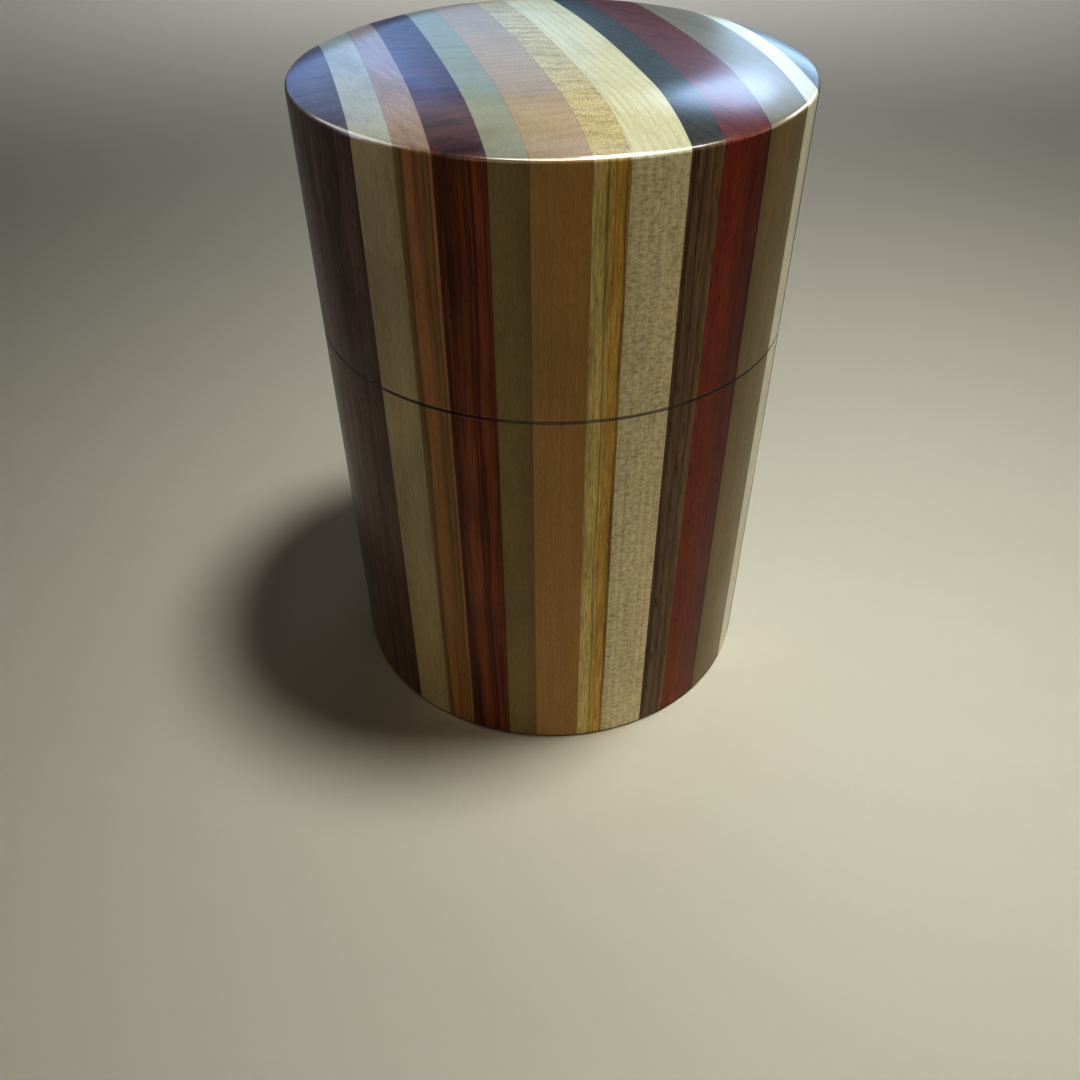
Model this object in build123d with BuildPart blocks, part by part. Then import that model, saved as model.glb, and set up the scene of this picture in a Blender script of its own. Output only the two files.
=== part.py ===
"""Turned tea caddy: a striped cylinder with a lift-off lid and an inner lid.

Thirteen planks of different woods are glued face to face into one block, with their grain upright.
The block is sawn across at the seam, and the two halves are turned on a lathe: the lower one is the
body, a cup with a thin spigot round its mouth, and the upper one is the lid, a cap that slides down
over the spigot. Each plank therefore leaves one piece in the body and one in the lid, and their
stripes line up when the caddy is closed. An inner lid with a knob plugs the mouth under the lid.

Frame: millimetres, +Z up, origin at the centre of the base. The glue faces are square to X, so the
stripes run along Y on top of the lid and straight up its sides.
"""

import os
from math import asin, cos, sin

from build123d import *

# Outside of the closed caddy
outer_diameter = 80.0
body_height = 73.1  # from the base to the seam where the lid sits on the body
base_edge_round = 0.5
seam_edge_chamfer = 0.2  # on both sides of the seam, so that it shows as a fine line
arris_round = 0.9  # where the lid's side meets its dome

# Dome of the lid: a nearly flat crown that turns down in a tighter shoulder
crown_radius = 400.0
shoulder_radius = 42.0
shoulder_width = 14.4  # from the side in to where the crown begins

# Walls, from the outside in
lid_wall = 3.35
lid_clearance = 0.15  # radial, between the lid's bore and the spigot
spigot_wall = 4.0
plug_clearance = 0.15  # radial, between the mouth and the inner lid's plug

# Body cup and its spigot
floor_thickness = 6.5
bore_corner_round = 2.0
spigot_height = 16.0  # how far it stands above the seam
spigot_edge_round = 0.8

# Lid cap
lid_top_thickness = 7.0  # at the centre of the dome
lid_corner_round = 2.5
lid_mouth_chamfer = 0.6

# Inner lid
plug_depth = 5.0
plug_lead_chamfer = 0.8
flange_thickness = 2.6
flange_margin = 0.6  # how far the flange stays inside the spigot's outside
flange_edge_round = 1.0

# Knob of the inner lid: a flat button on a short neck, with a tenon glued into the inner lid
knob_diameter = 15.0
knob_height = 9.0
knob_headroom = 7.9  # from the knob up to the lid's ceiling
knob_top_round = 2.6
knob_rim_round = 1.0
knob_neck_diameter = 8.0
knob_neck_height = 2.4
knob_neck_round = 2.0
knob_underside_rise = 2.0  # from the neck out to the button's edge
knob_tenon_diameter = 5.0
knob_tenon_length = 5.6
knob_glue_gap = 0.05  # round the tenon and under it

# Planks from -X to +X: wood and sawn thickness. The stack is always planed to span the diameter.
planks = [
    ("walnut", 6.7),
    ("linden", 4.75),
    ("zelkova", 4.2),
    ("rosewood", 6.2),
    ("magnolia", 4.8),
    ("katsura", 7.6),
    ("sumac", 4.85),
    ("maple", 8.1),
    ("bog_oak", 5.0),
    ("padauk", 7.95),
    ("ginkgo", 8.6),
    ("holly", 4.3),
    ("dark_walnut", 6.95),
]
turning_allowance = 3.0  # how far the glued block stands outside the finished caddy

# Radii, from the outside in
outer_radius = outer_diameter / 2
lid_bore_radius = outer_radius - lid_wall
spigot_radius = lid_bore_radius - lid_clearance
bore_radius = spigot_radius - spigot_wall
plug_radius = bore_radius - plug_clearance
flange_radius = spigot_radius - flange_margin
knob_radius = knob_diameter / 2
knob_neck_radius = knob_neck_diameter / 2
knob_tenon_radius = knob_tenon_diameter / 2

# Heights, from the base up
spigot_top = body_height + spigot_height
plug_bottom = spigot_top - plug_depth
flange_top = spigot_top + flange_thickness
knob_neck_top = flange_top + knob_neck_height
knob_top = flange_top + knob_height
lid_ceiling = knob_top + knob_headroom
lid_top = lid_ceiling + lid_top_thickness

# The crown and the shoulder meet with one slope at the crown's edge
crown_edge = outer_radius - shoulder_width
crown_edge_slope = asin(crown_edge / crown_radius)
crown_edge_height = lid_top - crown_radius * (1 - cos(crown_edge_slope))
shoulder_centre = crown_edge - shoulder_radius * sin(crown_edge_slope)
rim_slope = asin((outer_radius - shoulder_centre) / shoulder_radius)
rim_height = crown_edge_height - shoulder_radius * (cos(crown_edge_slope) - cos(rim_slope))


def corner(x, z):
    """The corner nearest to this radius and height in the section being drawn."""
    return vertices().sort_by_distance((x, z))[0]


def stack():
    """Number, wood, low X and high X of each plank in the glued block."""
    scale = outer_diameter / sum(thickness for _, thickness in planks)
    low = -outer_radius
    for number, (wood, thickness) in enumerate(planks, start=1):
        high = low + thickness * scale
        below = turning_allowance if number == 1 else 0
        above = turning_allowance if number == len(planks) else 0
        yield number, wood, low - below, high + above
        low = high


def finish(piece, name):
    """Labels a finished piece and writes its STEP file."""
    piece.part.label = name
    export_step(piece.part, f"parts/{name}.step")


def finish_planks(turned, prefix):
    """Finishes each plank's piece of a turned half, which is what lies between its two glue faces."""
    block_width = outer_diameter + 2 * turning_allowance
    block_height = lid_top + turning_allowance
    for number, wood, low, high in stack():
        with BuildPart() as plank:
            add(turned.part)
            with Locations(((low + high) / 2, 0, block_height / 2)):
                Box(high - low, block_width, block_height, mode=Mode.INTERSECT)
        finish(plank, f"{prefix}_plank_{number:02d}_{wood}")


os.makedirs("parts", exist_ok=True)

# Body: the lower half of the block, turned to a cup with a spigot round its mouth
with BuildPart() as turned_body:
    with BuildSketch(Plane.XZ) as body_section:
        with BuildLine():
            Polyline(
                (0, 0),
                (outer_radius, 0),
                (outer_radius, body_height),
                (spigot_radius, body_height),
                (spigot_radius, spigot_top),
                (bore_radius, spigot_top),
                (bore_radius, floor_thickness),
                (0, floor_thickness),
                close=True,
            )
        make_face()
        fillet(corner(outer_radius, 0), base_edge_round)
        chamfer(corner(outer_radius, body_height), seam_edge_chamfer)
        fillet(corner(spigot_radius, spigot_top), spigot_edge_round)
        fillet(corner(bore_radius, spigot_top), spigot_edge_round)
        fillet(corner(bore_radius, floor_thickness), bore_corner_round)
    revolve(axis=Axis.Z)
finish_planks(turned_body, "body")

# Lid: the upper half of the block, turned to a domed cap
with BuildPart() as turned_lid:
    with BuildSketch(Plane.XZ) as lid_section:
        with BuildLine():
            Polyline(
                (outer_radius, rim_height),
                (outer_radius, body_height),
                (lid_bore_radius, body_height),
                (lid_bore_radius, lid_ceiling),
                (0, lid_ceiling),
                (0, lid_top),
            )
            RadiusArc((0, lid_top), (crown_edge, crown_edge_height), crown_radius)
            RadiusArc((crown_edge, crown_edge_height), (outer_radius, rim_height), shoulder_radius)
        make_face()
        fillet(corner(outer_radius, rim_height), arris_round)
        chamfer(corner(outer_radius, body_height), seam_edge_chamfer)
        chamfer(corner(lid_bore_radius, body_height), lid_mouth_chamfer)
        fillet(corner(lid_bore_radius, lid_ceiling), lid_corner_round)
    revolve(axis=Axis.Z)
finish_planks(turned_lid, "lid")

# Inner lid: a flanged plug that sits on the spigot, with a socket for the knob's tenon
with BuildPart() as inner_lid_disc:
    with BuildSketch(Plane.XZ) as disc_section:
        with BuildLine():
            Polyline(
                (0, plug_bottom),
                (plug_radius, plug_bottom),
                (plug_radius, spigot_top),
                (flange_radius, spigot_top),
                (flange_radius, flange_top),
                (0, flange_top),
                close=True,
            )
        make_face()
        chamfer(corner(plug_radius, plug_bottom), plug_lead_chamfer)
        fillet(corner(flange_radius, flange_top), flange_edge_round)
    revolve(axis=Axis.Z)
    with Locations((0, 0, flange_top)):
        Hole(knob_tenon_radius + knob_glue_gap, depth=knob_tenon_length + knob_glue_gap)
finish(inner_lid_disc, "inner_lid_disc")

# Knob, turned in one piece with its tenon
with BuildPart() as inner_lid_knob:
    with BuildSketch(Plane.XZ) as knob_section:
        with BuildLine():
            Polyline(
                (0, flange_top - knob_tenon_length),
                (knob_tenon_radius, flange_top - knob_tenon_length),
                (knob_tenon_radius, flange_top),
                (knob_neck_radius, flange_top),
                (knob_neck_radius, knob_neck_top),
                (knob_radius, knob_neck_top + knob_underside_rise),
                (knob_radius, knob_top),
                (0, knob_top),
                close=True,
            )
        make_face()
        fillet(corner(knob_radius, knob_top), knob_top_round)
        fillet(corner(knob_radius, knob_neck_top + knob_underside_rise), knob_rim_round)
        fillet(corner(knob_neck_radius, knob_neck_top), knob_neck_round)
    revolve(axis=Axis.Z)
finish(inner_lid_knob, "inner_lid_knob")
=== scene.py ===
"""Looks of the striped tea caddy: turned wooden pieces, thirteen woods, lacquer, and a plain studio."""

from math import asin, cos, pi, radians, sin

import bmesh
import bpy
from mathutils import Matrix, Vector


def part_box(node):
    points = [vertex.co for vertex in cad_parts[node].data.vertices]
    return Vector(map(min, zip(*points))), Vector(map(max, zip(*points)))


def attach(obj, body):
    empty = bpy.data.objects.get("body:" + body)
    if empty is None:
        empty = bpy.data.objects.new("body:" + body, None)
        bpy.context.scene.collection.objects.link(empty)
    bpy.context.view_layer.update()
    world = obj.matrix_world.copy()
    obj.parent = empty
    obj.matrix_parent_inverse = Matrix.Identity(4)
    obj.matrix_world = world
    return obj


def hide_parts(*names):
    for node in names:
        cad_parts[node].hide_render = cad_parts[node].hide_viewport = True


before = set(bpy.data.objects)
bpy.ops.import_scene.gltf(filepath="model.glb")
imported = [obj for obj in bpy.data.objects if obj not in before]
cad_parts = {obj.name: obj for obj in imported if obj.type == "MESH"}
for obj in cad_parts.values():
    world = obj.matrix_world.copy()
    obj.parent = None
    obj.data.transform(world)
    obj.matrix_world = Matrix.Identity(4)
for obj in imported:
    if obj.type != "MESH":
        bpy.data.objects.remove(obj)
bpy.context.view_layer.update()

MM = 0.001

# ---------------------------------------------------------------- sizes, in metres

# From the frame
base_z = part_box("body_plank_08_maple")[0].z
spigot_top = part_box("body_plank_08_maple")[1].z
outer_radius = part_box("body_plank_08_maple")[1].y
seam_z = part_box("lid_plank_08_maple")[0].z
lid_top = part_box("lid_plank_08_maple")[1].z
flange_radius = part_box("inner_lid_disc")[1].y
plug_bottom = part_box("inner_lid_disc")[0].z
flange_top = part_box("inner_lid_disc")[1].z
knob_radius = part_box("inner_lid_knob")[1].y
tenon_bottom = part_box("inner_lid_knob")[0].z
knob_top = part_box("inner_lid_knob")[1].z

# Details that no box gives, as the CAD has them
lid_wall = 3.35 * MM
lid_clearance = 0.15 * MM
spigot_wall = 4.0 * MM
plug_clearance = 0.15 * MM
floor_thickness = 6.5 * MM
lid_top_thickness = 7.0 * MM
crown_radius = 400.0 * MM
shoulder_radius = 42.0 * MM
shoulder_width = 14.4 * MM
arris_round = 0.9 * MM
tenon_radius = 2.5 * MM
neck_radius = 4.0 * MM
neck_height = 2.4 * MM
neck_round = 2.0 * MM
knob_underside_rise = 2.0 * MM
knob_rim_round = 1.0 * MM
foot_round = 0.5 * MM
spigot_edge_round = 0.8 * MM
bore_corner_round = 2.0 * MM
lid_corner_round = 2.5 * MM
flange_edge_round = 1.0 * MM
tenon_glue_gap = 0.05 * MM

# Edges of the visual alone, where the CAD has a chamfer, a sharp corner or a slightly other size
body_seam_round = 0.04 * MM  # finer than the CAD's chamfer, so that the seam stays a dark line
lid_seam_round = 0.20 * MM
lid_mouth_round = 0.4 * MM
plug_lead_round = 0.8 * MM
flange_underside_round = 0.15 * MM
tenon_round = 0.3 * MM
tenon_hole_round = 0.1 * MM
inner_corner_round = 0.02 * MM  # a corner that looks sharp
hole_edge_round = 0.05 * MM
knob_crown = 0.35 * MM  # how far the knob's top rises from its rim
knob_top_round = 2.4 * MM

lid_bore_radius = outer_radius - lid_wall
spigot_radius = lid_bore_radius - lid_clearance
bore_radius = spigot_radius - spigot_wall
plug_radius = bore_radius - plug_clearance
lid_ceiling = lid_top - lid_top_thickness

# The dome: a crown and a shoulder that meet with one slope
crown_edge = outer_radius - shoulder_width
crown_slope = asin(crown_edge / crown_radius)
shoulder_x = crown_edge - shoulder_radius * sin(crown_slope)
shoulder_z = lid_top - crown_radius + (crown_radius - shoulder_radius) * cos(crown_slope)
arris_x = outer_radius - arris_round
arris_slope = asin((arris_x - shoulder_x) / (shoulder_radius - arris_round))
arris_z = shoulder_z + (shoulder_radius - arris_round) * cos(arris_slope)


# ---------------------------------------------------------------- turned shapes

SEGMENTS = 288  # round the turning axis
SUPPORT = 0.25 * MM  # a ring of vertices this far from each corner keeps long faces flat
SAME_PLACE = 1e-6  # metres: a cut this near the outside is no cut
ON_PLANE = 1e-8  # metres: a vertex this near a cut lies on it
TURNED, SAWN = 0, 1  # face marks while a piece is made


def arc(centre, radius, start, end, steps):
    """Points on an arc of a section; angles are slopes from +Z towards +X, in radians."""
    angles = [start + (end - start) * i / steps for i in range(steps + 1)]
    return [(centre[0] + radius * sin(a), centre[1] + radius * cos(a)) for a in angles]


def rounded(corners, steps=6):
    """A section's points from its corners (x, z, rounding), with support points beside each corner."""
    points = [corners[0][:2]]
    for before, here, after in zip(corners, corners[1:], corners[2:]):
        corner = Vector(here[:2])
        back = Vector(before[:2]) - corner
        ahead = Vector(after[:2]) - corner
        half_angle = back.angle(ahead) / 2
        reach = here[2] * cos(half_angle) / sin(half_angle)
        away, onward = back.normalized(), ahead.normalized()
        if back.length > reach + 3 * SUPPORT:
            points.append(tuple(corner + away * (reach + SUPPORT)))
        centre = corner + (away + onward).normalized() * (here[2] / sin(half_angle))
        first = corner + away * reach - centre
        turn = first.angle_signed(corner + onward * reach - centre)
        for i in range(steps + 1):
            swung = first.copy()
            swung.rotate(Matrix.Rotation(-turn * i / steps, 2))
            points.append(tuple(centre + swung))
        if ahead.length > reach + 3 * SUPPORT:
            points.append(tuple(corner + onward * (reach + SUPPORT)))
    points.append(corners[-1][:2])
    return points


def turned(section):
    """A closed solid of revolution from a section that starts and ends on the axis."""
    solid = bmesh.new()
    normal = solid.verts.layers.float_vector.new("turned_normal")
    poles = [solid.verts.new((0, 0, section[0][1])), solid.verts.new((0, 0, section[-1][1]))]
    rings = []
    for x, z in section[1:-1]:
        angles = [2 * pi * i / SEGMENTS for i in range(SEGMENTS)]
        rings.append([solid.verts.new((x * cos(a), x * sin(a), z)) for a in angles])
    for i in range(SEGMENTS):
        j = (i + 1) % SEGMENTS
        solid.faces.new((poles[0], rings[0][j], rings[0][i]))
        solid.faces.new((poles[1], rings[-1][i], rings[-1][j]))
        for low, high in zip(rings, rings[1:]):
            solid.faces.new((low[i], low[j], high[j], high[i]))
    solid.normal_update()
    for vertex in solid.verts:
        vertex[normal] = vertex.normal
    return solid


def sawn(solid, low, high):
    """A copy of a turned solid, cut square to X at low and at high and closed there."""
    piece = solid.copy()
    cuts = [(x, side) for x, side in ((low, -1), (high, 1)) if abs(x) < outer_radius - SAME_PLACE]
    for x, side in cuts:
        everything = piece.verts[:] + piece.edges[:] + piece.faces[:]
        cut = bmesh.ops.bisect_plane(
            piece,
            geom=everything,
            dist=ON_PLANE,
            plane_co=(x, 0, 0),
            plane_no=(side, 0, 0),
            clear_outer=True,
        )
        rim = [e for e in cut["geom_cut"] if isinstance(e, bmesh.types.BMEdge)]
        for face in bmesh.ops.edgeloop_fill(piece, edges=rim)["faces"]:
            face.material_index = SAWN
    return piece


def piece_from(solid, name):
    """A mesh object from a bmesh: turned faces shade as turned, sawn faces shade flat."""
    solid.normal_update()
    mesh = bpy.data.meshes.new(name)
    solid.to_mesh(mesh)
    solid.free()
    turned_normal = [Vector(item.vector) for item in mesh.attributes["turned_normal"].data]
    normals = []
    for face in mesh.polygons:
        face.use_smooth = True
        for vertex in face.vertices:
            flat = face.material_index == SAWN or turned_normal[vertex].length < 0.1
            normals.append(face.normal if flat else turned_normal[vertex].normalized())
        face.material_index = TURNED
    mesh.normals_split_custom_set(normals)
    mesh.attributes.remove(mesh.attributes["turned_normal"])
    piece = bpy.data.objects.new(name, mesh)
    bpy.context.scene.collection.objects.link(piece)
    return piece


body_section = rounded(
    [
        (0, base_z, 0),
        (outer_radius, base_z, foot_round),
        (outer_radius, seam_z, body_seam_round),
        (spigot_radius, seam_z, inner_corner_round),
        (spigot_radius, spigot_top, spigot_edge_round),
        (bore_radius, spigot_top, spigot_edge_round),
        (bore_radius, base_z + floor_thickness, bore_corner_round),
        (0, base_z + floor_thickness, 0),
    ]
)

lid_inside = rounded(
    [
        (0, lid_ceiling, 0),
        (lid_bore_radius, lid_ceiling, lid_corner_round),
        (lid_bore_radius, seam_z, lid_mouth_round),
        (outer_radius, seam_z, lid_seam_round),
        (outer_radius, arris_z, 0),
    ]
)
lid_outside = (
    [(outer_radius, arris_z - SUPPORT)]
    + arc((arris_x, arris_z), arris_round, pi / 2, arris_slope, 10)
    + arc((shoulder_x, shoulder_z), shoulder_radius, arris_slope, crown_slope, 16)[1:]
    + arc((0, lid_top - crown_radius), crown_radius, crown_slope, 0, 6)[1:]
)
lid_section = lid_inside[:-1] + lid_outside

disc_section = rounded(
    [
        (0, plug_bottom, 0),
        (plug_radius, plug_bottom, plug_lead_round),
        (plug_radius, spigot_top, inner_corner_round),
        (flange_radius, spigot_top, flange_underside_round),
        (flange_radius, flange_top, flange_edge_round),
        (tenon_radius + 2 * tenon_glue_gap, flange_top, hole_edge_round),
        (tenon_radius + tenon_glue_gap, tenon_bottom - tenon_glue_gap, tenon_hole_round),
        (0, tenon_bottom - tenon_glue_gap, 0),
    ]
)

knob_section = rounded(
    [
        (0, tenon_bottom, 0),
        (tenon_radius, tenon_bottom, tenon_round),
        (tenon_radius, flange_top, inner_corner_round),
        (neck_radius, flange_top, inner_corner_round),
        (neck_radius, flange_top + neck_height, neck_round),
        (knob_radius, flange_top + neck_height + knob_underside_rise, knob_rim_round),
        (knob_radius, knob_top - knob_crown, knob_top_round),
        (0, knob_top, 0),
    ],
    steps=10,
)


# ---------------------------------------------------------------- node trees


class Graph:
    """A node tree, built with one short call for each node. Sockets take a link or a plain value."""

    def __init__(self, tree):
        self.tree = tree
        self.tree.nodes.clear()

    def node(self, kind, inputs=(), **settings):
        node = self.tree.nodes.new(kind)
        for key, value in settings.items():
            setattr(node, key, value)
        for key, value in dict(inputs).items():
            self.feed(node.inputs[key], value)
        return node

    def feed(self, socket, value):
        if isinstance(value, bpy.types.NodeSocket):
            self.tree.links.new(value, socket)
        elif socket.type == "RGBA" and len(value) == 3:
            socket.default_value = (*value, 1)
        else:
            socket.default_value = value

    def math(self, operation, a, b=0.0, clamp=False):
        node = self.node("ShaderNodeMath", {0: a, 1: b}, operation=operation, use_clamp=clamp)
        return node.outputs[0]

    def vector(self, operation, a, b):
        return self.node("ShaderNodeVectorMath", {0: a, 1: b}, operation=operation).outputs[0]

    def dot(self, a, b):
        return self.node("ShaderNodeVectorMath", {0: a, 1: b}, operation="DOT_PRODUCT").outputs["Value"]

    def length(self, a):
        return self.node("ShaderNodeVectorMath", {0: a}, operation="LENGTH").outputs["Value"]

    def combine(self, x, y, z):
        return self.node("ShaderNodeCombineXYZ", {0: x, 1: y, 2: z}).outputs[0]

    def noise(self, place, detail=2.0, roughness=0.5):
        settings = {"Vector": place, "Scale": 1.0, "Detail": detail, "Roughness": roughness}
        return self.node("ShaderNodeTexNoise", settings).outputs["Fac"]

    def cells(self, place):
        """Distance to the nearest scattered point, and that point's own random number."""
        node = self.node("ShaderNodeTexVoronoi", {"Vector": place, "Scale": 1.0})
        apart = self.node("ShaderNodeSeparateColor", {0: node.outputs["Color"]})
        return node.outputs["Distance"], apart.outputs[0]

    def rise(self, value, low, high):
        """0 at low, 1 at high, smooth between."""
        settings = {"Value": value, "From Min": low, "From Max": high}
        node = self.node("ShaderNodeMapRange", settings, interpolation_type="SMOOTHSTEP")
        return node.outputs[0]

    def ramp(self, value, stops):
        """A smooth colour ramp; stops are (position, linear colour)."""
        node = self.node("ShaderNodeValToRGB", {0: value})
        node.color_ramp.interpolation = "EASE"
        elements = node.color_ramp.elements
        while len(elements) < len(stops):
            elements.new(0.5)
        for element, (position, colour) in zip(elements, stops):
            element.position = position
            element.color = (*colour, 1)
        return node.outputs[0]

    def mix(self, factor, a, b, blend="MIX"):
        node = self.node("ShaderNodeMix", data_type="RGBA", blend_type=blend)
        for key, value in ((0, factor), (6, a), (7, b)):
            self.feed(node.inputs[key], value)
        return node.outputs[2]

    def shade(self, colour, amount):
        """A colour times a plain number."""
        node = self.node("ShaderNodeVectorMath", {0: colour}, operation="SCALE")
        self.feed(node.inputs["Scale"], amount)
        return node.outputs[0]


def linear(red, green, blue):
    """A linear colour from the usual 0 to 255 screen values."""
    parts = [part / 255 for part in (red, green, blue)]
    return tuple(p / 12.92 if p <= 0.04045 else ((p + 0.055) / 1.055) ** 2.4 for p in parts)


# ---------------------------------------------------------------- woods

# Each wood is a solid: its grain runs up the plank, and its rings cross the end grain.
#   tones    colours across the plank, from its -X face to its +X face
#   stripes  lines along the plank that show on its sides: (place across it, width, strength)
#   end      colour of the end grain
#   rings    heading (degrees from +X towards +Y), distance of the heart, spacing, waver, strength
#   figure   heading, size across, size along the rings, height, strength: broad uneven bands
#   streak   size, height, strength: fine lines up the plank
#   pores    spacing, width, height, share of them that show, strength
#   rays     heading, size across, length, height, strength: flecks on the side
#   mottle   size, strength: cloudy patches
# Sizes are in millimetres, colours in screen values from 0 to 255, chosen by comparison.
WOODS = {
    "walnut": dict(
        tones=[(0.0, (106, 85, 72)), (1.0, (97, 77, 65))],
        end=(76, 61, 51),
        rings=(62, 90, 2.4, 0.5, 0.22),
        figure=(62, 1.6, 12, 70, 0.25),
        streak=(0.30, 9, 0.30),
        pores=(0.55, 0.16, 2.0, 0.75, 0.65),
        mottle=(7, 0.16),
    ),
    "linden": dict(
        tones=[(0.0, (158, 143, 104)), (0.6, (162, 147, 110)), (1.0, (150, 138, 100))],
        end=(143, 139, 118),
        rings=(25, 70, 3.6, 0.4, 0.06),
        figure=(25, 2.6, 9, 30, 0.10),
        streak=(0.35, 7, 0.12),
        pores=(0.5, 0.06, 1.2, 0.35, 0.10),
        mottle=(8, 0.10),
    ),
    "zelkova": dict(
        tones=[
            (0.00, (120, 106, 62)),
            (0.13, (118, 96, 56)),
            (0.24, (147, 108, 69)),
            (0.62, (141, 105, 66)),
            (0.72, (133, 103, 60)),
            (0.82, (131, 101, 59)),
            (0.90, (151, 112, 72)),
            (1.00, (134, 98, 65)),
        ],
        stripes=[(0.17, 0.35, 0.22), (0.69, 0.22, 0.20), (0.84, 0.25, 0.26)],
        end=(133, 109, 88),
        rings=(8, 80, 1.5, 0.25, 0.10),
        figure=(8, 0.9, 12, 60, 0.14),
        streak=(0.28, 12, 0.20),
        pores=(0.55, 0.12, 2.6, 0.40, 0.40),
        mottle=(10, 0.08),
    ),
    "rosewood": dict(
        tones=[(0.0, (128, 78, 48)), (0.5, (131, 76, 44)), (0.78, (142, 80, 47)), (1.0, (130, 75, 45))],
        stripes=[
            (0.03, 0.90, 0.42),
            (0.56, 0.40, 0.40),
            (0.66, 0.50, 0.50),
            (0.61, 1.50, 0.14),
            (0.88, 0.25, 0.25),
        ],
        end=(72, 35, 42),
        rings=(76, 120, 2.3, 0.60, 0.30),
        figure=(76, 1.8, 8, 90, 0.58),
        streak=(0.22, 14, 0.40),
        pores=(0.75, 0.15, 2.4, 0.45, 0.60),
        mottle=(7, 0.16),
    ),
    "magnolia": dict(
        tones=[(0.0, (125, 111, 71)), (0.5, (129, 114, 74)), (1.0, (123, 109, 71))],
        end=(121, 117, 92),
        rings=(80, 90, 3.0, 0.4, 0.05),
        figure=(80, 2.2, 10, 40, 0.05),
        streak=(0.30, 8, 0.07),
        pores=(0.45, 0.05, 1.0, 0.30, 0.10),
        mottle=(8, 0.07),
    ),
    "katsura": dict(
        tones=[(0.0, (159, 128, 79)), (0.45, (167, 135, 84)), (1.0, (163, 130, 79))],
        end=(143, 119, 88),
        rings=(84, 110, 1.7, 0.22, 0.07),
        figure=(84, 1.2, 10, 80, 0.08),
        streak=(0.32, 14, 0.10),
        pores=(0.42, 0.05, 1.4, 0.35, 0.12),
        mottle=(9, 0.06),
    ),
    "sumac": dict(
        tones=[
            (0.00, (208, 192, 134)),
            (0.28, (216, 196, 128)),
            (0.45, (204, 182, 112)),
            (0.62, (210, 174, 94)),
            (0.84, (206, 170, 90)),
            (1.00, (190, 166, 104)),
        ],
        stripes=[(0.42, 0.30, 0.34), (0.60, 0.18, 0.25), (0.93, 0.40, 0.42)],
        end=(168, 148, 98),
        rings=(78, 60, 2.9, 0.70, 0.12),
        figure=(78, 1.5, 6, 40, 0.24),
        streak=(0.24, 4, 0.34),
        pores=(0.36, 0.11, 3.2, 0.60, 0.42),
        mottle=(8, 0.08),
    ),
    "maple": dict(
        tones=[(0.0, (214, 203, 164)), (0.5, (218, 206, 166)), (1.0, (222, 207, 165))],
        end=(174, 162, 122),
        rings=(2, 300, 1.3, 0.10, 0.10),
        figure=(2, 0.40, 22, 40, 0.14),
        streak=(0.40, 5, 0.08),
        pores=(0.50, 0.08, 0.6, 0.40, 0.25),
        rays=(0, 0.50, 0.90, 0.50, 0.28),
        mottle=(5, 0.05),
    ),
    "bog_oak": dict(
        tones=[(0.0, (122, 96, 68)), (0.5, (128, 100, 70)), (1.0, (140, 110, 76))],
        stripes=[(0.10, 0.5, 0.36), (0.45, 0.30, 0.34), (0.72, 0.4, 0.30)],
        end=(54, 50, 38),
        rings=(22, 80, 1.8, 0.25, 0.20),
        figure=(22, 1.1, 12, 60, 0.26),
        streak=(0.24, 7, 0.40),
        pores=(0.44, 0.15, 5.0, 0.75, 0.80),
        mottle=(8, 0.08),
    ),
    "padauk": dict(
        tones=[(0.0, (140, 60, 32)), (0.35, (138, 56, 30)), (0.75, (122, 49, 27)), (1.0, (100, 41, 24))],
        stripes=[(0.97, 0.8, 0.45), (0.70, 0.9, 0.18)],
        end=(89, 39, 28),
        rings=(35, 90, 2.6, 0.45, 0.12),
        figure=(35, 1.8, 14, 90, 0.18),
        streak=(0.26, 5, 0.34),
        pores=(0.62, 0.17, 2.6, 0.80, 0.75),
        mottle=(9, 0.10),
    ),
    "ginkgo": dict(
        tones=[(0.0, (129, 107, 66)), (0.4, (135, 112, 69)), (1.0, (131, 108, 66))],
        end=(107, 98, 79),
        rings=(20, 90, 3.4, 0.5, 0.06),
        figure=(20, 2.4, 12, 60, 0.06),
        streak=(0.35, 9, 0.06),
        pores=(0.5, 0.05, 1.0, 0.25, 0.08),
        mottle=(10, 0.06),
    ),
    "holly": dict(
        tones=[(0.0, (224, 210, 176)), (0.6, (230, 215, 182)), (1.0, (221, 203, 166))],
        end=(166, 160, 136),
        rings=(30, 90, 2.8, 0.3, 0.06),
        figure=(30, 1.0, 10, 60, 0.06),
        streak=(0.35, 12, 0.07),
        pores=(0.5, 0.05, 1.0, 0.25, 0.08),
        mottle=(8, 0.05),
    ),
    "dark_walnut": dict(
        tones=[(0.0, (84, 66, 56)), (1.0, (76, 60, 52))],
        end=(66, 56, 50),
        rings=(120, 90, 2.2, 0.5, 0.25),
        figure=(120, 1.5, 12, 70, 0.28),
        streak=(0.30, 9, 0.28),
        pores=(0.60, 0.13, 3.2, 0.55, 0.60),
        mottle=(9, 0.12),
    ),
    "cherry": dict(
        tones=[(0.0, (176, 122, 84)), (0.5, (186, 130, 90)), (1.0, (172, 118, 80))],
        end=(158, 106, 70),
        rings=(70, 46, 2.6, 0.5, 0.16),
        figure=(70, 1.8, 14, 60, 0.12),
        streak=(0.30, 10, 0.10),
        pores=(0.5, 0.06, 1.6, 0.35, 0.18),
        mottle=(12, 0.08),
    ),
}

LACQUER = dict(coat=0.55, coat_roughness=0.20, coat_ior=1.45, roughness=0.5, specular=0.05)
RELIEF = 0.00006  # metres: how deep the grain is
GLUE_LINE = 0.05  # how far from a glue face its dark line reaches, in millimetres
WORN = (0.50, 0.44, 0.36)  # linear colour of a worn edge
PALE_FLECK = (0.90, 0.84, 0.66)  # linear colour of a pale ray
PALE_FIBRE = (1, 0.92, 0.75)


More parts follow.
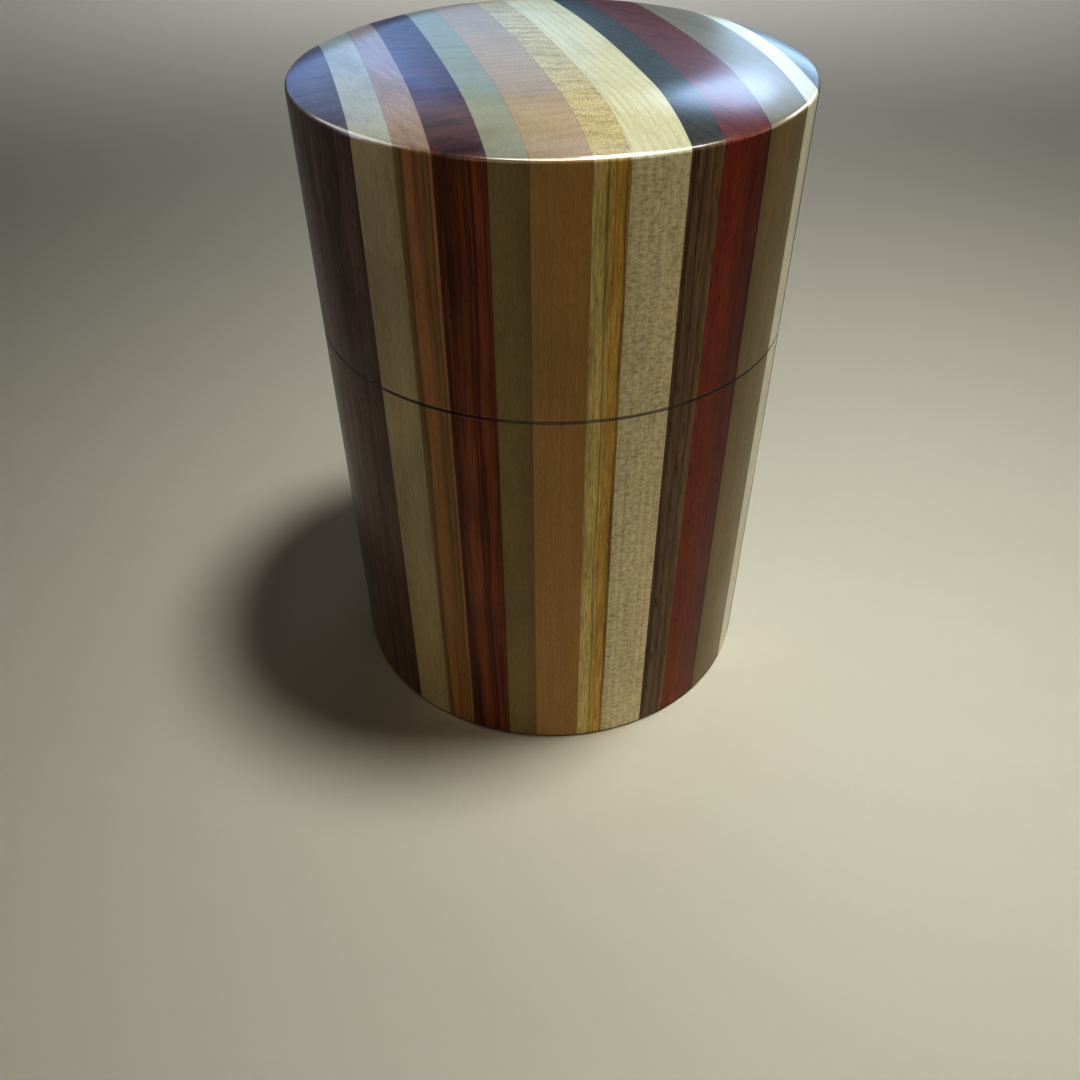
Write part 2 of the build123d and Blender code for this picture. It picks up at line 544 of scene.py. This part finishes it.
def mapped(graph, place, heading, across, along, height, shift):
    """Place in a plank, turned so that X crosses the rings and scaled so that 1 is one feature."""
    c, s = cos(radians(heading)), sin(radians(heading))
    u = graph.math("DIVIDE", graph.dot(place, (c, s, 0)), across)
    v = graph.math("DIVIDE", graph.dot(place, (-s, c, 0)), along)
    w = graph.math("DIVIDE", graph.dot(place, (0, 0, 1)), height)
    return graph.vector("ADD", graph.combine(u, v, w), (shift, shift * 0.7, shift * 1.3))


def darkened(graph, colour, mask, strength):
    """A colour darkened by up to strength where the mask is 1, the blue in it most."""
    tint = tuple(1 - strength * share for share in (0.94, 1.0, 1.04))
    return graph.mix(mask, colour, tuple(max(0.0, t) for t in tint), "MULTIPLY")


def plank_colour(g, spec, place, low, high, side_grain, end_grain, shift):
    """Tones across the plank, with edges that waver up the grain, stripes, and its end grain."""
    waver = g.noise(mapped(g, place, 0, 3, 12, 34, shift), 3)
    across = g.math("DIVIDE", g.math("SUBTRACT", g.dot(place, (1, 0, 0)), low), high - low)
    across = g.math("ADD", across, g.math("MULTIPLY", g.math("SUBTRACT", waver, 0.5), 0.35))
    colour = g.ramp(across, [(at, linear(*tone)) for at, tone in spec["tones"]])
    for at, width, strength in spec.get("stripes", ()):
        away = g.math("MULTIPLY", g.math("ABSOLUTE", g.math("SUBTRACT", across, at)), high - low)
        stripe = g.math("MULTIPLY", g.rise(away, width * 0.75, width * 0.25), side_grain)
        colour = darkened(g, colour, stripe, strength)
    return g.mix(end_grain, colour, linear(*spec["end"]))


def with_rings(g, colour, spec, place, middle, shift):
    """Growth rings: distance from the heart, which stands far to one side."""
    heading, heart, spacing, wander, strength = spec["rings"]
    offset = (middle + heart * cos(radians(heading)), heart * sin(radians(heading)), 0)
    flat = g.vector("MULTIPLY", place, (1, 1, 0))
    distance = g.length(g.vector("SUBTRACT", flat, offset))
    drift = g.noise(mapped(g, place, heading, 5, 7, 60, shift + 3), 3)
    distance = g.math("ADD", distance, g.math("MULTIPLY", drift, wander * 6))
    phase = g.math("FRACT", g.math("DIVIDE", distance, spacing))
    late = g.math("MULTIPLY", g.rise(phase, 0.25, 0.92), g.rise(phase, 1.0, 0.94))
    return darkened(g, colour, late, strength)


def with_figure(g, colour, spec, place, shift):
    """Broad uneven bands that follow the rings; also gives the bands for the relief."""
    heading, size, length, height, strength = spec["figure"]
    bands = g.noise(mapped(g, place, heading, size, length, height, shift + 7), 4, 0.55)
    return darkened(g, colour, g.rise(bands, 0.50, 0.66), strength), bands


def with_streaks(g, colour, spec, place, shift):
    """Fine dark and pale lines up the plank; also gives the lines for the relief."""
    size, height, strength = spec["streak"]
    streaks = g.noise(mapped(g, place, 0, size, size * 1.4, height, shift + 11), 3, 0.6)
    colour = darkened(g, colour, g.rise(streaks, 0.38, 0.70), strength)
    pale_streak = g.math("MULTIPLY", g.rise(streaks, 0.46, 0.28), strength * 0.6)
    return g.mix(pale_streak, colour, PALE_FIBRE, "SOFT_LIGHT"), streaks


def with_fibres(g, colour, place, shift):
    """Fibres, too fine to see one by one."""
    fibres = g.noise(mapped(g, place, 0, 0.18, 0.22, 1.1, shift + 31), 2)
    return g.shade(colour, g.math("ADD", 0.72, g.math("MULTIPLY", fibres, 0.56)))


def with_clouds(g, colour, spec, place, shift):
    """Cloudy patches."""
    size, strength = spec["mottle"]
    clouds = g.noise(mapped(g, place, 30, size, size * 1.5, size * 3, shift + 19), 4, 0.6)
    return darkened(g, colour, g.rise(clouds, 0.40, 0.70), strength * 2)


def with_pores(g, colour, spec, place, end_grain, shift):
    """Pores: thin tubes up the plank, dots on the end grain; also gives them for the relief."""
    spacing, width, height, share, strength = spec["pores"]
    near, chance = g.cells(mapped(g, place, 20, spacing, spacing, height, shift + 23))
    reach = g.math("MULTIPLY", g.rise(chance, 1 - share, 1.0), width / spacing)
    reach = g.math("ADD", reach, 0.001)
    pore = g.rise(g.math("DIVIDE", near, reach), 1.15, 0.55)
    pore = g.math("MULTIPLY", pore, g.math("SUBTRACT", 1.0, g.math("MULTIPLY", end_grain, 0.7)))
    return darkened(g, colour, pore, strength), pore


def with_rays(g, colour, spec, place, side_grain, shift):
    """Rays: small flecks on the side, paler or darker than the wood round them."""
    heading, size, length, height, strength = spec["rays"]
    rays = g.noise(mapped(g, place, heading - 90, size, length, height, shift + 29), 3, 0.65)
    dark_fleck = g.math("MULTIPLY", g.rise(rays, 0.50, 0.66), side_grain)
    pale_fleck = g.math("MULTIPLY", g.rise(rays, 0.48, 0.34), side_grain)
    colour = darkened(g, colour, dark_fleck, strength)
    return g.mix(g.math("MULTIPLY", pale_fleck, strength), colour, PALE_FLECK)


def with_glue_lines(g, colour, place, low, high):
    """A fine dark line at the glue faces."""
    middle, half = (low + high) / 2, (high - low) / 2
    from_middle = g.math("ABSOLUTE", g.math("SUBTRACT", g.dot(place, (1, 0, 0)), middle))
    return darkened(g, colour, g.rise(from_middle, half - GLUE_LINE, half), 0.45)


def with_wear_and_seam_shade(g, colour, outside):
    """Worn edges, paler and duller in patches, and painted shade along the seam between lid and body; also
    gives the wear.
    """
    radius = g.length(g.vector("MULTIPLY", outside, (1, 1, 0)))
    level = g.dot(outside, (0, 0, 1))
    side = g.math("ABSOLUTE", g.math("SUBTRACT", radius, outer_radius / MM))
    patches = g.noise(g.vector("MULTIPLY", outside, (0.12, 0.12, 0.12)), 5, 0.6)

    def distance_to(edge):
        return g.length(g.combine(side, g.math("SUBTRACT", level, edge / MM), 0))

    foot, seam, rim = [distance_to(edge) for edge in (base_z, seam_z, arris_z + arris_round)]
    wear = g.math("MAXIMUM", g.rise(foot, 1.0, 0.2), g.rise(rim, 1.2, 0.3))
    wear = g.math("MAXIMUM", wear, g.rise(seam, 0.7, 0.2))
    wear = g.math("MULTIPLY", wear, g.rise(patches, 0.40, 0.70))
    colour = g.mix(g.math("MULTIPLY", wear, 0.10), colour, WORN)
    # Painted shade: the colour is darkened along the seam between lid and body, where the groove lies in
    # shade.
    return darkened(g, colour, g.rise(seam, 0.32, 0.18), 0.85), wear


def lacquered(g, colour, outside, streaks, bands, pore, wear):
    """The shader: grain that shows through a clear lacquer with a little dust in it."""
    grain = g.math("ADD", g.math("MULTIPLY", streaks, 0.35), g.math("MULTIPLY", bands, 0.15))
    relief = g.math("SUBTRACT", grain, g.math("MULTIPLY", pore, 0.8))
    dust = g.noise(g.vector("MULTIPLY", outside, (0.9, 0.9, 0.9)), 3, 0.6)
    bump = g.node("ShaderNodeBump", {"Strength": 0.35, "Distance": RELIEF, "Height": relief})
    film = g.math("ADD", g.math("MULTIPLY", relief, 0.3), g.math("MULTIPLY", dust, 0.5))
    coat_bump = g.node("ShaderNodeBump", {"Strength": 0.05, "Distance": RELIEF, "Height": film})
    roughness = g.math("ADD", LACQUER["roughness"] - 0.06, g.math("MULTIPLY", dust, 0.12))
    roughness = g.math("ADD", roughness, g.math("MULTIPLY", wear, 0.15), clamp=True)
    return g.node(
        "ShaderNodeBsdfPrincipled",
        {
            "Base Color": colour,
            "Roughness": roughness,
            "Normal": bump.outputs[0],
            "Specular IOR Level": LACQUER["specular"],
            "Coat Weight": LACQUER["coat"],
            "Coat Roughness": LACQUER["coat_roughness"],
            "Coat IOR": LACQUER["coat_ior"],
            "Coat Normal": coat_bump.outputs[0],
        },
    )


def swapped(g, vector):
    """A vector with its X and Z changed over."""
    apart = g.node("ShaderNodeSeparateXYZ", {0: vector})
    return g.combine(apart.outputs[2], apart.outputs[1], apart.outputs[0])


def wood_material(name, wood, seed, low, high, along_x=False):
    """The material of one plank between its glue faces low and high, in millimetres."""
    spec = WOODS[wood]
    shift = 17.3 * seed  # moves each plank to its own part of the noise
    material = bpy.data.materials.new(name)
    material.use_nodes = True
    g = Graph(material.node_tree)
    coordinates = g.node("ShaderNodeTexCoord")
    outside = g.vector("MULTIPLY", coordinates.outputs["Object"], (1 / MM, 1 / MM, 1 / MM))
    place, normal = outside, coordinates.outputs["Normal"]
    if along_x:  # a board that lies on its side has its grain along X
        place, normal = swapped(g, place), swapped(g, normal)
    upright = g.math("ABSOLUTE", g.dot(normal, (0, 0, 1)))
    end_grain = g.rise(upright, 0.35, 0.9)
    side_grain = g.math("SUBTRACT", 1.0, end_grain)

    colour = plank_colour(g, spec, place, low, high, side_grain, end_grain, shift)
    colour = with_rings(g, colour, spec, place, (low + high) / 2, shift)
    colour, bands = with_figure(g, colour, spec, place, shift)
    colour, streaks = with_streaks(g, colour, spec, place, shift)
    colour = with_fibres(g, colour, place, shift)
    colour = with_clouds(g, colour, spec, place, shift)
    colour, pore = with_pores(g, colour, spec, place, end_grain, shift)
    if "rays" in spec:
        colour = with_rays(g, colour, spec, place, side_grain, shift)
    if not along_x:
        colour = with_glue_lines(g, colour, place, low, high)
    colour, wear = with_wear_and_seam_shade(g, colour, outside)
    shader = lacquered(g, colour, outside, streaks, bands, pore, wear)
    output = g.node("ShaderNodeOutputMaterial")
    g.tree.links.new(shader.outputs[0], output.inputs[0])
    return material


# ---------------------------------------------------------------- pieces


def place_piece(piece, node, body, material):
    """Gives a piece its material, hangs it on its body and hides the CAD node that it stands for."""
    piece.data.materials.append(material)
    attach(piece, body)
    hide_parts(node)


solids = {"body": turned(body_section), "lid": turned(lid_section)}
materials = {}
for node in sorted(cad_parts):
    if "_plank_" not in node:
        continue
    half, _, number, wood = node.split("_", 3)
    low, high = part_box(node)[0].x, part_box(node)[1].x
    if number not in materials:
        materials[number] = wood_material(wood, wood, int(number), low / MM, high / MM)
    piece = piece_from(sawn(solids[half], low, high), "turned_" + node)
    place_piece(piece, node, half, materials[number])
for solid in solids.values():
    solid.free()

board = 9  # millimetres: half the width that the inner lid's tones are spread over
disc_material = wood_material("cherry", "cherry", 21, -board, board, along_x=True)
disc = piece_from(turned(disc_section), "turned_inner_lid_disc")
place_piece(disc, "inner_lid_disc", "inner_lid", disc_material)
knob_material = wood_material("walnut_knob", "walnut", 22, -board, board)
knob = piece_from(turned(knob_section), "turned_inner_lid_knob")
place_piece(knob, "inner_lid_knob", "inner_lid", knob_material)


# ---------------------------------------------------------------- studio

floor_reach = 4.0  # metres from the middle to each edge
floor_tone = linear(172, 160, 138)

floor_mesh = bpy.data.meshes.new("studio_floor")
floor_shape = bmesh.new()
bmesh.ops.create_grid(floor_shape, x_segments=8, y_segments=8, size=floor_reach)
floor_shape.to_mesh(floor_mesh)
floor_shape.free()
floor = bpy.data.objects.new("studio_floor", floor_mesh)
floor.location.z = base_z
bpy.context.scene.collection.objects.link(floor)
floor_material = bpy.data.materials.new("studio_floor")
floor_material.use_nodes = True
floor_graph = Graph(floor_material.node_tree)
floor_shader = floor_graph.node(
    "ShaderNodeBsdfPrincipled",
    {"Base Color": floor_tone, "Roughness": 0.8, "Specular IOR Level": 0.0},
)
floor_graph.tree.links.new(floor_shader.outputs[0], floor_graph.node("ShaderNodeOutputMaterial").inputs[0])
floor_mesh.materials.append(floor_material)

world = bpy.data.worlds.new("studio")
bpy.context.scene.world = world
world.use_nodes = True
sky_graph = Graph(world.node_tree)
sky = sky_graph.node("ShaderNodeBackground", {"Color": (1.0, 0.93, 0.82), "Strength": 0.01})
sky_graph.tree.links.new(sky.outputs[0], sky_graph.node("ShaderNodeOutputWorld").inputs[0])

aim = Vector((0, 0, lid_top))


def softbox(name, azimuth, elevation, distance, width, height, power, colour, gloss_only=False):
    """An area light that faces the lid; azimuth is from +Y towards +X, in degrees.

    With gloss_only it shows only in reflections, as a window does in the lacquer.
    """
    data = bpy.data.lights.new(name, "AREA")
    data.shape = "ELLIPSE"
    data.size = width
    data.size_y = height
    data.energy = power
    data.color = colour
    light = bpy.data.objects.new(name, data)
    light.visible_diffuse = not gloss_only
    light.visible_camera = False
    a, e = radians(azimuth), radians(elevation)
    away = Vector((sin(a) * cos(e), cos(a) * cos(e), sin(e)))
    light.location = aim + away * distance
    light.rotation_euler = away.to_track_quat("Z", "Y").to_euler()
    bpy.context.scene.collection.objects.link(light)
    return light


# Name, azimuth, elevation, distance, width, height, watts, colour.
# The key is narrow: its pool of light lies on the floor round the caddy, more to the right and in front
key = softbox("key", 105, 76, 0.45, 0.10, 0.10, 0.57, (0.88, 1.0, 1.14))
key.data.spread = radians(76)
pool = Vector((0.06, -0.06, base_z))
key.rotation_euler = (key.location - pool).to_track_quat("Z", "Y").to_euler()
softbox("fill_back", 20, 50, 1.2, 0.8, 0.8, 0.06, (0.62, 0.82, 1.0))
softbox("fill_front", -145, 2, 1.0, 0.8, 0.2, 2.0, (1.0, 0.89, 0.75))
softbox("fill_right", 100, 6, 1.0, 0.5, 0.2, 1.0, (0.94, 1.0, 1.04))
rim_left = softbox("rim_left", -80, 6, 0.5, 0.10, 0.10, 0.014, (0.40, 0.56, 1.0))
rim_left.data.spread = radians(24)

# The window, the strip and the sides are what the lacquer reflects towards the camera
softbox("window_right", 37, 29, 1.2, 0.31, 0.31, 1.8, (0.52, 0.72, 1.0), gloss_only=True)
softbox("window_right_soft", 38, 28, 1.2, 0.52, 0.50, 1.3, (0.46, 0.66, 1.0), gloss_only=True)
softbox("window_right_glow", 39, 12, 1.2, 0.50, 0.46, 0.95, (0.44, 0.70, 1.0), gloss_only=True)
softbox("window_right_low", 35, 3, 1.2, 0.34, 0.16, 0.36, (0.50, 0.76, 1.0), gloss_only=True)
softbox("window_left", -12, 22, 1.2, 0.72, 0.85, 2.3, (0.30, 0.49, 1.0), gloss_only=True)
softbox("window_middle", 9, 16, 1.2, 0.40, 0.50, 0.46, (0.22, 0.52, 1.0), gloss_only=True)
softbox("window_wide", 6, 26, 1.3, 1.00, 1.00, 1.1, (0.52, 0.80, 1.0), gloss_only=True)
softbox("window_high", 0, 46, 1.2, 0.90, 0.50, 1.4, (1.0, 0.93, 0.78), gloss_only=True)
softbox("strip", 168, 55, 0.6, 1.00, 0.30, 26.0, (1.0, 1.0, 1.0), gloss_only=True)
softbox("side_left", -64, 34, 1.0, 1.00, 0.50, 10.5, (0.94, 0.97, 1.0), gloss_only=True)
softbox("side_right", 70, 14, 1.0, 0.50, 0.30, 4.0, (0.90, 0.96, 1.0), gloss_only=True)

# The floor behind the caddy
backdrop = softbox("backdrop", 8, 60, 1.3, 0.9, 0.9, 4.0, (0.82, 0.96, 1.24))
backdrop.data.spread = radians(70)
backdrop.location = Vector((0.30, 0.85, 1.1))
far_floor = Vector((0.25, 0.85, base_z))
backdrop.rotation_euler = (backdrop.location - far_floor).to_track_quat("Z", "Y").to_euler()

# Camera: in front, above and a little to the left of the plank faces
camera_data = bpy.data.cameras.new("camera")
camera_data.sensor_width = 36
camera_data.lens = 32.56
camera = bpy.data.objects.new("camera", camera_data)
heading, pitch, roll = radians(14.8), radians(40.69), radians(-0.42)
camera.location = Vector((-1.0755, -3.8440, 3.8367)) * outer_radius + Vector((0, 0, base_z))
forward = Vector((sin(heading) * cos(pitch), cos(heading) * cos(pitch), -sin(pitch)))
level_right = Vector((cos(heading), -sin(heading), 0))
level_up = level_right.cross(forward)
right = level_right * cos(roll) + level_up * sin(roll)
up = level_up * cos(roll) - level_right * sin(roll)
turned_camera = Matrix((right, up, -forward)).transposed().to_4x4()
camera.matrix_world = Matrix.Translation(camera.location) @ turned_camera
bpy.context.scene.collection.objects.link(camera)
bpy.context.scene.camera = camera

bpy.context.scene.view_settings.view_transform = "Standard"
bpy.context.scene.view_settings.look = "High Contrast"
